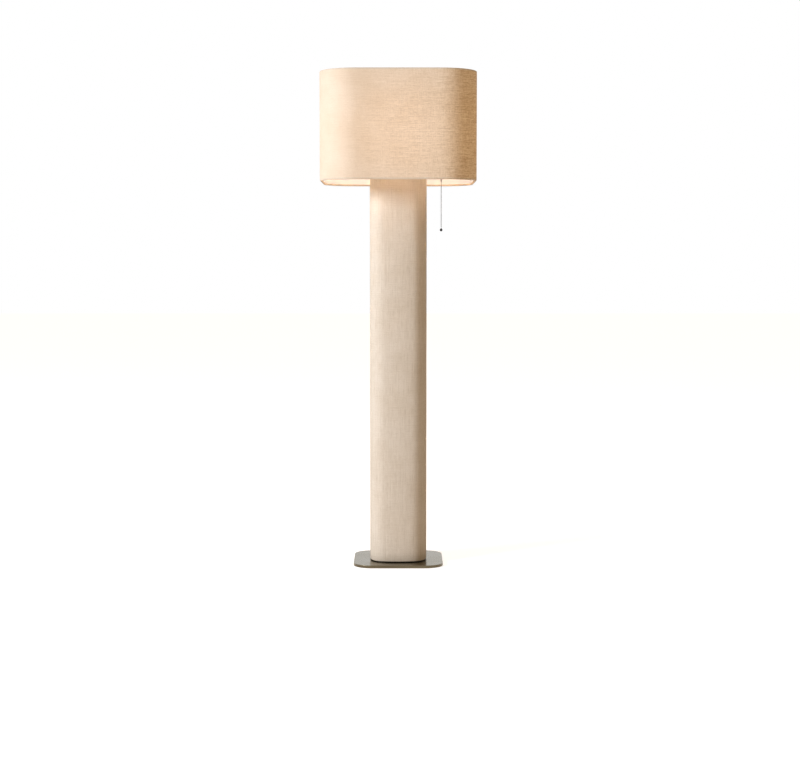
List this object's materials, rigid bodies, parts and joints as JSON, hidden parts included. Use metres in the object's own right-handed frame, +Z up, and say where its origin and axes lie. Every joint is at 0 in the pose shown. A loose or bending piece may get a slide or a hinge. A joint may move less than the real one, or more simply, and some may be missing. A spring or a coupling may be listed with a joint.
{
  "type": "column floor lamp",
  "caption": "Floor lamp with an upholstered square column on a metal plate, a square linen shade with round corners on a harp, and a ball-chain pull switch.",
  "frame": {"origin": "centre of the underside, on the floor", "axes": "+Z up, the front is -Y, +X is the side with the pull chain"},
  "size_m": [0.565, 0.5654, 1.8],
  "materials": {
    "rubber_mat": "matt, fine grain",
    "bronze_plate": "brushed, bronze plated",
    "black_steel": "matt black",
    "zinc_steel": "zinc plated",
    "plywood": "unfinished birch plywood",
    "wadding": "soft polyester felt",
    "column_cloth": "oatmeal linen with slubs",
    "shade_cloth": "oatmeal linen with slubs, lets light through",
    "styrene": "thin white liner sheet, lets light through",
    "white_steel": "satin white",
    "black_plastic": "moulded phenolic",
    "white_plastic": "moulded",
    "brass": "turned",
    "nickel": "satin nickel",
    "bronze_trim": "dark bronze",
    "chain_metal": "darkened nickel",
    "bulb_metal": "rolled thread",
    "bulb_glass_black": "black vitrite",
    "bulb_body": "satin white",
    "bulb_opal": "opal, lit"
  },
  "bodies": {
    "lamp": {"floor_mat": "rubber_mat", "base_plate": "bronze_plate", "base_bolts": "zinc_steel", "foot_plate": "black_steel", "foot_board": "plywood", "foot_inserts": "brass", "column_core": "plywood", "column_padding": "wadding", "column_linen": "column_cloth", "top_board": "plywood", "column_cap": "white_steel", "wood_screws": "zinc_steel", "cord_grommet": "black_plastic", "grommet_nut": "black_plastic", "terminal_block": "white_plastic", "terminal_screws": "brass", "inner_flex": "white_plastic", "switch_lead": "white_plastic", "cable_clips": "white_plastic", "lamp_tube": "zinc_steel", "tube_washer": "zinc_steel", "tube_nuts": "brass", "switch_arm": "zinc_steel", "harp_saddle": "nickel", "lampholder_cap": "nickel", "lampholder_shell": "nickel", "lampholder_core": "black_plastic", "screw_shell": "brass", "centre_contact": "brass", "harp_loop": "nickel", "harp_stud": "nickel", "switch_housing": "black_plastic", "switch_cover": "black_plastic", "switch_rivets": "brass", "switch_axle": "zinc_steel", "switch_bushing": "brass", "ring_nut": "brass", "switch_bell": "brass", "contact_blades": "brass"},
    "bulb": {"bulb_tip": "zinc_steel", "bulb_insulator": "bulb_glass_black", "bulb_cap": "bulb_metal", "bulb_collar": "bulb_body", "bulb_dome": "bulb_opal"},
    "left_lock": {"left_sleeve": "brass"},
    "right_lock": {"right_sleeve": "brass"},
    "shade": {"shade_linen": "shade_cloth", "shade_liner": "styrene", "shade_rings": "white_steel", "shade_spider": "white_steel"},
    "finial_nut": {"finial": "bronze_trim"},
    "wheel": {"pull_wheel": "white_plastic", "anchor_beads": "chain_metal"},
    "cam": {"ratchet_cam": "black_plastic"},
    "chain_head": {"head_chain": "chain_metal"},
    "chain_pivot": {"pivot_bead": "chain_metal"},
    "chain": {"pull_chain": "chain_metal", "chain_coupling": "chain_metal", "pull_ball": "chain_metal"}
  },
  "joints": [
    {"name": "bulb_turn", "type": "hinge", "parent": "lamp", "child": "bulb", "pos_m": [0, 0, 1.52], "axis": [0, 0, 1], "continuous": true},
    {"name": "left_sleeve_lift", "type": "slide", "parent": "lamp", "child": "left_lock", "axis": [0, 0, 1], "range_m": [0, 0.014]},
    {"name": "right_sleeve_lift", "type": "slide", "parent": "lamp", "child": "right_lock", "axis": [0, 0, 1], "range_m": [0, 0.014]},
    {"name": "shade_turn", "type": "hinge", "parent": "lamp", "child": "shade", "pos_m": [0, 0, 1.774], "axis": [0, 0, 1], "continuous": true},
    {"name": "finial_turn", "type": "hinge", "parent": "lamp", "child": "finial_nut", "pos_m": [0, 0, 1.78], "axis": [0, 0, 1], "continuous": true},
    {"name": "pull_travel", "type": "slide", "parent": "lamp", "child": "chain_head", "axis": [0, 0, -1], "range_m": [0, 0.009], "stiffness_N_per_m": 800, "springref_m": -0.004},
    {"name": "wheel_turn", "type": "hinge", "parent": "lamp", "child": "wheel", "pos_m": [0.1526, 0, 1.478], "axis": [0, 1, 0], "range_deg": [0, 86]},
    {"name": "cam_turn", "type": "hinge", "parent": "lamp", "child": "cam", "pos_m": [0.1526, 0, 1.478], "axis": [0, 1, 0], "continuous": true},
    {"name": "chain_swing_front", "type": "hinge", "parent": "chain_head", "child": "chain_pivot", "pos_m": [0.1586, 0, 1.4439], "axis": [1, 0, 0], "range_deg": [-50, 50]},
    {"name": "chain_swing_side", "type": "hinge", "parent": "chain_pivot", "child": "chain", "pos_m": [0.1586, 0, 1.4439], "axis": [0, 1, 0], "range_deg": [-50, 13]}
  ],
  "couplings": [
    {"joint": "wheel_turn", "follows": "pull_travel", "rad_per_m": 166.67}
  ]
}
